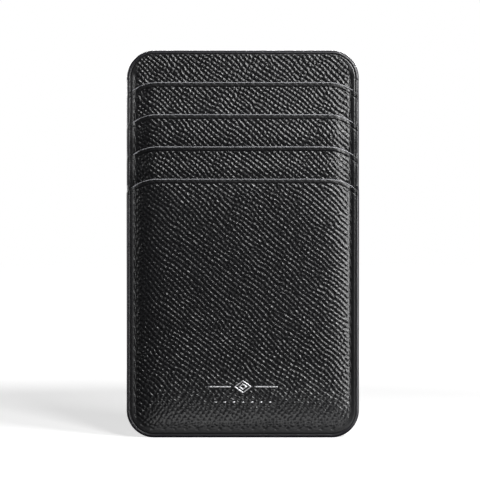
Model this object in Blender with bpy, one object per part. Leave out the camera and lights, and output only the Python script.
"""Vertical card holder: a stitched stack of leather panels with four stepped card
slots at the front and one full-width compartment between the centre and back panels.

The holder stands on its bottom edge. X runs across it, Z up, and the slots face -Y.
The origin is at the middle of the bottom edge. Depths are measured forwards, towards
-Y, from the front face of the centre panel, on which the pockets are laid up.
"""

import math

import bmesh
import bpy
from mathutils import Vector

MM = 0.001

# Overall size
WIDTH = 72.0 * MM
HEIGHT = 120.0 * MM
CORNER_RADIUS = 8.5 * MM

# Card slots: the lowest belongs to the front panel, and those above it to leather strips
STRIP_COUNT = 3
SLOT_STEP = 10.0 * MM
STRIP_OVERLAP = 6.0 * MM  # how far a strip runs down behind the next slot's edge
SHOULDER_RADIUS = 14.0 * MM  # the slot edges curve down to the sides on this radius
SHOULDER_RUN = 9.7 * MM  # width of that curve, from the outer edge
LINING_INSET = 1.0 * MM  # a pocket lining stops this far below its slot's edge

# Seam
SEAM_INSET = 2.7 * MM
SEAM_ALLOWANCE = 3.0 * MM  # lining below a pocket's floor, which the tape holds
THREAD_DIAMETER = 0.4 * MM
GROOVE_WIDTH = 0.9 * MM
GROOVE_DEPTH = 0.5 * MM

# Layer thicknesses
BACK_LEATHER = 0.9 * MM
CENTRE_LEATHER = 0.6 * MM
STRIP_LEATHER = 0.45 * MM
FRONT_LEATHER = 0.8 * MM
LINING = 0.18 * MM
STIFFENER = 0.3 * MM
TAPE = 0.13 * MM
SEAM_TAPE = 0.2 * MM
EDGE_PAINT = 0.25 * MM

# Spaces
GLUE_LINE = 0.08 * MM
POCKET_GAP = 0.25 * MM  # an empty pocket between its walls
PAINT_GAP = 0.05 * MM

# How the layers come together towards the seams
SIDE_RUN = 7.0 * MM  # the pockets close over this width beside the side seams
FLOOR_RUN = 9.0 * MM  # and over this height above the bottom seam
LINING_SIDE_GAP = 5.5 * MM  # from the seam to a pocket lining's side
EDGE_COVER = 0.5 * MM  # a layer keeps its full depth this far past the one behind it
EDGE_RAMP = 3.5 * MM  # and then eases back over this distance

SEAM_TAPE_WIDTH = 3.6 * MM
SEAM_TAPE_INSET = 0.6 * MM  # from the painted edge to the tape
STIFFENER_INSET = 1.2 * MM  # the board is cut back from the seam and the painted edge
STIFFENER_RADIUS = 3.0 * MM
ARC_STEPS = 8
COARSE_STEP = 12.0 * MM  # largest step between lines of the shared lattice
OVERCUT = 2.0 * MM

# Derived places
HALF_WIDTH = WIDTH / 2
SEAM_X = HALF_WIDTH - SEAM_INSET
LEATHER_INSET = EDGE_PAINT + PAINT_GAP
LEATHER_HALF = HALF_WIDTH - LEATHER_INSET
LEATHER_TOP = HEIGHT - LEATHER_INSET
LEATHER_BOTTOM = LEATHER_INSET
LEATHER_RADIUS = CORNER_RADIUS - LEATHER_INSET
COMPARTMENT_GAP = SEAM_TAPE + 2 * GLUE_LINE
POCKET_SIDE = SEAM_X - THREAD_DIAMETER
LINING_HALF = SEAM_X - LINING_SIDE_GAP
FLOOR_Z = SEAM_INSET + THREAD_DIAMETER
SLOT_Z = [HEIGHT - (k + 1) * SLOT_STEP for k in range(STRIP_COUNT + 1)]
FRONT_TOP = SLOT_Z[STRIP_COUNT]
STRIP_BOTTOM = [z - SLOT_STEP - STRIP_OVERLAP for z in SLOT_Z[:STRIP_COUNT]]
LINING_BOTTOM = [
    FLOOR_Z + (STRIP_COUNT - k) * SLOT_STEP - SEAM_ALLOWANCE for k in range(STRIP_COUNT)
]

# Depths of the flat layers behind the centre panel's front face, as negative numbers
COMPARTMENT_LINING_FRONT = -CENTRE_LEATHER - GLUE_LINE - LINING
COMPARTMENT_LINING_REAR = COMPARTMENT_LINING_FRONT - COMPARTMENT_GAP - LINING
STIFFENER_REAR = COMPARTMENT_LINING_REAR - GLUE_LINE - STIFFENER
BACK_REAR = STIFFENER_REAR - GLUE_LINE - BACK_LEATHER
LEAF = LINING + GLUE_LINE + STRIP_LEATHER
FRONT_LAYER = LINING + GLUE_LINE + FRONT_LEATHER
MOST_DEPTH = POCKET_GAP + STRIP_COUNT * (LINING + POCKET_GAP) + LEAF - LINING + FRONT_LAYER
CENTRE_FACE_Y = (MOST_DEPTH + BACK_REAR) / 2


def clear_scene():
    for obj in list(bpy.data.objects):
        bpy.data.objects.remove(obj, do_unlink=True)


def new_collection(name, hidden=False):
    collection = bpy.data.collections.new(name)
    collection.hide_render = hidden
    bpy.context.scene.collection.children.link(collection)
    return collection


def material(name, rgb, roughness, metallic=0.0):
    made = bpy.data.materials.new(name)
    made.use_nodes = True
    made.diffuse_color = (*rgb, 1.0)
    shader = made.node_tree.nodes["Principled BSDF"]
    shader.inputs["Base Color"].default_value = (*rgb, 1.0)
    shader.inputs["Roughness"].default_value = roughness
    shader.inputs["Metallic"].default_value = metallic
    return made


def arc(cx, cz, radius, start, end, steps=ARC_STEPS):
    """Points from the start to the end angle, in degrees counterclockwise from +X."""
    angles = [math.radians(start + (end - start) * i / steps) for i in range(steps + 1)]
    return [(cx + radius * math.cos(a), cz + radius * math.sin(a)) for a in angles]


def rounded_outline(half, bottom, top, radius):
    """A rectangle with four equal round corners."""
    x, low, high = half - radius, bottom + radius, top - radius
    return (
        arc(x, low, radius, -90, 0)
        + arc(x, high, radius, 0, 90)
        + arc(-x, high, radius, 90, 180)
        + arc(-x, low, radius, 180, 270)
    )


def slot_edge(half, top):
    """A slot's upper edge from right to left: straight, with shoulders that curve down."""
    start = HALF_WIDTH - SHOULDER_RUN
    turn = math.degrees(math.asin((half - start) / SHOULDER_RADIUS))
    low = top - SHOULDER_RADIUS
    return arc(start, low, SHOULDER_RADIUS, 90 - turn, 90) + arc(
        -start, low, SHOULDER_RADIUS, 90, 90 + turn
    )


def strip_outline(index):
    bottom = STRIP_BOTTOM[index]
    return [(-LEATHER_HALF, bottom), (LEATHER_HALF, bottom)] + slot_edge(
        LEATHER_HALF, SLOT_Z[index]
    )


def front_outline(inset=0.0):
    half = LEATHER_HALF - inset
    bottom = LEATHER_BOTTOM + inset
    radius = LEATHER_RADIUS - inset
    x, low = half - radius, bottom + radius
    return (
        arc(-x, low, radius, 180, 270)
        + arc(x, low, radius, -90, 0)
        + slot_edge(half, FRONT_TOP - inset)
    )


def panel_outline(inset=0.0):
    """A whole panel, the size of the holder less the painted edge."""
    return rounded_outline(
        LEATHER_HALF - inset, LEATHER_BOTTOM + inset, LEATHER_TOP - inset, LEATHER_RADIUS - inset
    )


def lining_outline(index):
    top = SLOT_Z[index] - LINING_INSET
    return rounded_outline(LINING_HALF, LINING_BOTTOM[index], top, LINING_INSET)


def lower_path(inset, past=0.0):
    """Down one side, along the bottom and up the other, or past the top corners' start."""
    half, radius = HALF_WIDTH - inset, CORNER_RADIUS - inset
    x, low, high = half - radius, inset + radius, HEIGHT - CORNER_RADIUS + past
    lower = arc(-x, low, radius, 180, 270) + arc(x, low, radius, -90, 0)
    return [(-half, high)] + lower + [(half, high)]


def upper_path(inset, gap):
    """Over the top from right to left, starting a gap above the lower path's ends."""
    half, radius = HALF_WIDTH - inset, CORNER_RADIUS - inset
    x, high = half - radius, HEIGHT - CORNER_RADIUS
    turn = math.degrees(gap / radius)
    return arc(x, high, radius, turn, 90) + arc(-x, high, radius, 90, 180 - turn)


def y_of(depth):
    return CENTRE_FACE_Y - depth


def plate(name, outline, rear, thickness, finish, collection):
    """A flat layer: the filled outline, from its rear depth forwards by its thickness."""
    curve = bpy.data.curves.new(name, "CURVE")
    curve.dimensions = "2D"
    curve.fill_mode = "BOTH"
    curve.extrude = thickness / 2
    spline = curve.splines.new("POLY")
    spline.points.add(len(outline) - 1)
    for point, (x, z) in zip(spline.points, outline):
        point.co = (x, z, 0.0, 1.0)
    spline.use_cyclic_u = True
    obj = bpy.data.objects.new(name, curve)
    obj.rotation_euler = (math.pi / 2, 0.0, 0.0)
    obj.location = (0.0, y_of(rear + thickness / 2), 0.0)
    if finish:
        curve.materials.append(finish)
    collection.objects.link(obj)
    return obj


def as_mesh(obj):
    """The curve object made a welded mesh object of the same name, place and material."""
    bpy.context.view_layer.update()
    graph = bpy.context.evaluated_depsgraph_get()
    mesh = bpy.data.meshes.new_from_object(obj.evaluated_get(graph))
    bm = bmesh.new()
    bm.from_mesh(mesh)
    bmesh.ops.remove_doubles(bm, verts=bm.verts, dist=0.001 * MM)
    bmesh.ops.recalc_face_normals(bm, faces=bm.faces)
    bm.to_mesh(mesh)
    bm.free()
    name, collection = obj.name, obj.users_collection[0]
    place = obj.matrix_world.copy()
    bpy.data.objects.remove(obj, do_unlink=True)
    made = bpy.data.objects.new(name, mesh)
    made.matrix_world = place
    collection.objects.link(made)
    return made


def cutter(name, outline, rear, thickness, helpers):
    """A plate that only cuts: hidden in renders, and closed as a mesh."""
    obj = as_mesh(plate(name, outline, rear, thickness, None, helpers))
    obj.hide_render = True
    obj.display_type = "WIRE"
    return obj


def cut(obj, other, operation):
    boolean = obj.modifiers.new(f"{operation.lower()} {other.name}", "BOOLEAN")
    boolean.operation = operation
    boolean.object = other


def ease(value):
    """A smooth step from 0 to 1, flat outside that range."""
    t = min(1.0, max(0.0, value))
    return t * t * (3.0 - 2.0 * t)


def pocket_gap(x, z):
    """The space between two pocket walls, which closes to a glue line at the seams."""
    side = ease((POCKET_SIDE - abs(x)) / SIDE_RUN)
    floor = ease((z - FLOOR_Z) / FLOOR_RUN)
    return GLUE_LINE + (POCKET_GAP - GLUE_LINE) * side * floor


def below_edge(z, bottom):
    """1 above a layer's lower edge, easing to 0 below it."""
    return ease((z - bottom + EDGE_COVER + EDGE_RAMP) / EDGE_RAMP)


def lining_cover(index, x, z):
    side = ease((POCKET_SIDE - abs(x)) / (POCKET_SIDE - LINING_HALF - EDGE_COVER))
    return side * below_edge(z, LINING_BOTTOM[index])


def leaf_depth(index, x, z):
    """The rear of pocket leaf number index: it drapes over the leaves behind it."""
    gap = pocket_gap(x, z)
    depth = gap
    for k in range(index):
        lining = lining_cover(k, x, z)
        strip = below_edge(z, STRIP_BOTTOM[k])
        depth += lining * LINING + strip * (STRIP_LEATHER + lining * GLUE_LINE)
        depth += max(lining, strip) * gap
    return depth


def strip_depth(index, x, z):
    cover = lining_cover(index, x, z)
    return leaf_depth(index, x, z) + cover * (LINING + GLUE_LINE)


def front_lining_depth(x, z):
    return leaf_depth(STRIP_COUNT, x, z)


def front_depth(x, z):
    return front_lining_depth(x, z) + LINING + GLUE_LINE


def with_coarse_steps(lines):
    """Sorted lines without repeats, and more between any two that are far apart."""
    made = []
    for line in sorted(lines):
        if made and line - made[-1] < 0.01 * MM:
            continue
        if made:
            count = math.ceil((line - made[-1]) / COARSE_STEP)
            start, step = made[-1], (line - made[-1]) / count
            made += [start + step * i for i in range(1, count)]
        made.append(line)
    return made


def lattice():
    """The lines that every draped layer shares, so that none cuts through the next."""
    open_x = POCKET_SIDE - SIDE_RUN
    cover_x = LINING_HALF + EDGE_COVER
    right = [0.0, open_x, (open_x + cover_x) / 2, cover_x]
    right += [(cover_x + POCKET_SIDE) / 2, POCKET_SIDE, HALF_WIDTH + OVERCUT]
    xs = with_coarse_steps(right + [-x for x in right])
    zs = [-OVERCUT, HEIGHT, FLOOR_Z, FLOOR_Z + FLOOR_RUN / 2, FLOOR_Z + FLOOR_RUN]
    for bottom in STRIP_BOTTOM + LINING_BOTTOM:
        ramp = bottom - EDGE_COVER
        zs += [ramp, ramp - EDGE_RAMP / 2, ramp - EDGE_RAMP]
    return xs, with_coarse_steps(zs)


def draped(name, outline, depth, thickness, finish, collection, helpers):
    """A layer on the shared lattice: depth(x, z) is its rear, cut to the outline."""
    xs, zs = lattice()
    low = max(z for z in zs if z < min(p[1] for p in outline))
    high = min(z for z in zs if z > max(p[1] for p in outline))
    zs = [z for z in zs if low <= z <= high]
    columns, rows = len(xs) - 1, len(zs) - 1
    bm = bmesh.new()
    bmesh.ops.create_grid(bm, x_segments=columns, y_segments=rows, size=0.5)
    for vert in bm.verts:
        x = xs[round((vert.co.x + 0.5) * columns)]
        z = zs[round((vert.co.y + 0.5) * rows)]
        vert.co = (x, y_of(depth(x, z)), z)
    bmesh.ops.triangulate(bm, faces=bm.faces, quad_method="FIXED")
    front = bmesh.ops.extrude_face_region(bm, geom=bm.faces[:])["geom"]
    moved = [g for g in front if isinstance(g, bmesh.types.BMVert)]
    bmesh.ops.translate(bm, verts=moved, vec=Vector((0.0, -thickness, 0.0)))
    bmesh.ops.recalc_face_normals(bm, faces=bm.faces)
    mesh = bpy.data.meshes.new(name)
    bm.to_mesh(mesh)
    bm.free()
    mesh.materials.append(finish)
    obj = bpy.data.objects.new(name, mesh)
    collection.objects.link(obj)
    whole = MOST_DEPTH + 2 * OVERCUT
    cut(obj, cutter(f"{name}_outline", outline, -OVERCUT, whole, helpers), "INTERSECT")
    return obj


def front_face(x, z):
    """Depth of the foremost leather face beside the seam at this place."""
    drop = SHOULDER_RADIUS - math.sqrt(
        SHOULDER_RADIUS**2 - max(0.0, abs(x) - HALF_WIDTH + SHOULDER_RUN) ** 2
    )
    if z <= FRONT_TOP - drop:
        return front_depth(x, z) + FRONT_LEATHER
    faces = [
        strip_depth(k, x, z) + STRIP_LEATHER
        for k in range(STRIP_COUNT)
        if STRIP_BOTTOM[k] <= z <= SLOT_Z[k] - drop
    ]
    return max([0.0] + faces)


def thread(name, points, finish, collection):
    """A round thread through the points, closed at its ends."""
    curve = bpy.data.curves.new(name, "CURVE")
    curve.dimensions = "3D"
    curve.bevel_depth = THREAD_DIAMETER / 2
    curve.bevel_resolution = 2
    curve.use_fill_caps = True
    spline = curve.splines.new("POLY")
    spline.points.add(len(points) - 1)
    for point, place in zip(spline.points, points):
        point.co = (*place, 1.0)
    curve.materials.append(finish)
    obj = bpy.data.objects.new(name, curve)
    collection.objects.link(obj)
    return obj


def needle_thread(finish, collection):
    """The front thread lies on the stepped leather, clear of every slot edge it crosses."""
    step = SLOT_STEP / 8
    clear = THREAD_DIAMETER / 2 + PAINT_GAP
    path = lower_path(SEAM_INSET)
    points = []
    for (x0, z0), (x1, z1) in zip(path, path[1:]):
        count = max(1, round(abs(z1 - z0) / step))
        points += [
            (x0 + (x1 - x0) * i / count, z0 + (z1 - z0) * i / count) for i in range(count)
        ]
    points.append(path[-1])
    places = []
    for x, z in points:
        near = [z + step * share for share in (-1.0, -0.5, 0.0, 0.5, 1.0)]
        deep = max(front_face(x, max(0.0, at)) for at in near)
        places.append((x, y_of(deep + clear), z))
    return thread("needle_thread", places, finish, collection)


def bobbin_thread(finish, collection):
    """The rear thread lies sunk in the back panel's groove."""
    sunk = BACK_REAR + GROOVE_DEPTH - PAINT_GAP - THREAD_DIAMETER / 2
    places = [(x, y_of(sunk), z) for x, z in lower_path(SEAM_INSET)]
    return thread("bobbin_thread", places, finish, collection)


def band(path, outer, inner, *ends):
    """The closed strip between two insets of one path."""
    return path(outer, *ends) + path(inner, *ends)[::-1]


def edge_paint(finish, collection, helpers):
    """The painted edge that closes the seam's cut layers, stepped as the front is."""
    lowest = front_face(SEAM_X, LEATHER_BOTTOM)
    strip = GLUE_LINE + STRIP_LEATHER
    outline = band(lower_path, 0.0, EDGE_PAINT)
    whole = lowest - BACK_REAR
    obj = as_mesh(plate("edge_paint", outline, BACK_REAR, whole, finish, collection))
    steps = (
        ("paint_step_front", FRONT_TOP - STRIP_OVERLAP, strip),
        ("paint_step_strips", SLOT_Z[0] - STRIP_OVERLAP, 0.0),
    )
    wide = HALF_WIDTH + OVERCUT
    for name, bottom, depth in steps:
        high = HEIGHT + OVERCUT
        box = [(-wide, bottom), (wide, bottom), (wide, high), (-wide, high)]
        cut(obj, cutter(name, box, depth, lowest + OVERCUT, helpers), "DIFFERENCE")
    return obj


def back_panel(finish, collection, helpers):
    """The back leather, with the groove that the seam is pressed into."""
    whole = panel_outline()
    obj = as_mesh(plate("back_panel", whole, BACK_REAR, BACK_LEATHER, finish, collection))
    side = GROOVE_WIDTH / 2
    ring = band(lower_path, SEAM_INSET - side, SEAM_INSET + side, THREAD_DIAMETER)
    groove = cutter("seam_groove", ring, BACK_REAR - OVERCUT, OVERCUT + GROOVE_DEPTH, helpers)
    cut(obj, groove, "DIFFERENCE")
    return obj


def top_edge_paint(name, rear, front, finish, collection):
    """One wall's painted top edge, which leaves the compartment open between the walls."""
    outline = band(upper_path, 0.0, EDGE_PAINT, PAINT_GAP)
    return plate(name, outline, rear, front - rear, finish, collection)


def seam_tape(finish, collection):
    """The tape that joins the two walls round the compartment."""
    outer = LEATHER_INSET + SEAM_TAPE_INSET
    outline = band(lower_path, outer, outer + SEAM_TAPE_WIDTH)
    rear = COMPARTMENT_LINING_REAR + LINING + GLUE_LINE
    return plate("seam_tape", outline, rear, SEAM_TAPE, finish, collection)


def floor_tape(index, finish, collection):
    """The tape that closes a pocket's floor, between its lining and the centre panel."""
    half = POCKET_SIDE - SIDE_RUN
    bottom = LINING_BOTTOM[index] + GLUE_LINE
    outline = [
        (-half, bottom),
        (half, bottom),
        (half, bottom + SEAM_ALLOWANCE),
        (-half, bottom + SEAM_ALLOWANCE),
    ]
    rear = (pocket_gap(0.0, bottom) - TAPE) / 2
    return plate(f"pocket_floor_tape_{index + 1}", outline, rear, TAPE, finish, collection)


def build():
    clear_scene()
    holder = new_collection("card_holder")
    helpers = new_collection("cutters", hidden=True)
    leather = material("grained_leather", (0.018, 0.018, 0.020), 0.42)
    paint = material("edge_paint", (0.022, 0.022, 0.026), 0.35)
    textile = material("lining_fabric", (0.014, 0.014, 0.016), 0.75)
    yarn = material("waxed_thread", (0.020, 0.020, 0.022), 0.50)
    board = material("stiffener_board", (0.300, 0.270, 0.230), 0.85)
    adhesive = material("adhesive_tape", (0.550, 0.500, 0.380), 0.60)

    whole = panel_outline()
    back_panel(leather, holder, helpers)
    board_half = SEAM_X - STIFFENER_INSET
    board_bottom = SEAM_INSET + STIFFENER_INSET
    board_outline = rounded_outline(
        board_half, board_bottom, HEIGHT - board_bottom, STIFFENER_RADIUS
    )
    plate("back_stiffener", board_outline, STIFFENER_REAR, STIFFENER, board, holder)
    plate("compartment_lining_rear", whole, COMPARTMENT_LINING_REAR, LINING, textile, holder)
    plate("compartment_lining_front", whole, COMPARTMENT_LINING_FRONT, LINING, textile, holder)
    plate("centre_panel", whole, -CENTRE_LEATHER, CENTRE_LEATHER, leather, holder)
    seam_tape(adhesive, holder)

    for k in range(STRIP_COUNT):
        number = k + 1
        floor_tape(k, adhesive, holder)
        draped(
            f"pocket_lining_{number}",
            lining_outline(k),
            lambda x, z, k=k: leaf_depth(k, x, z),
            LINING,
            textile,
            holder,
            helpers,
        )
        draped(
            f"slot_strip_{number}",
            strip_outline(k),
            lambda x, z, k=k: strip_depth(k, x, z),
            STRIP_LEATHER,
            leather,
            holder,
            helpers,
        )
    inset = front_outline(LINING_INSET / 2)
    draped(
        "front_pocket_lining", inset, front_lining_depth, LINING, textile, holder, helpers
    )
    draped(
        "front_panel", front_outline(), front_depth, FRONT_LEATHER, leather, holder, helpers
    )
    edge_paint(paint, holder, helpers)
    rear_edge = COMPARTMENT_LINING_REAR + LINING
    top_edge_paint("top_edge_paint_front", COMPARTMENT_LINING_FRONT, 0.0, paint, holder)
    top_edge_paint("top_edge_paint_rear", BACK_REAR, rear_edge, paint, holder)
    needle_thread(yarn, holder)
    bobbin_thread(yarn, holder)


build()
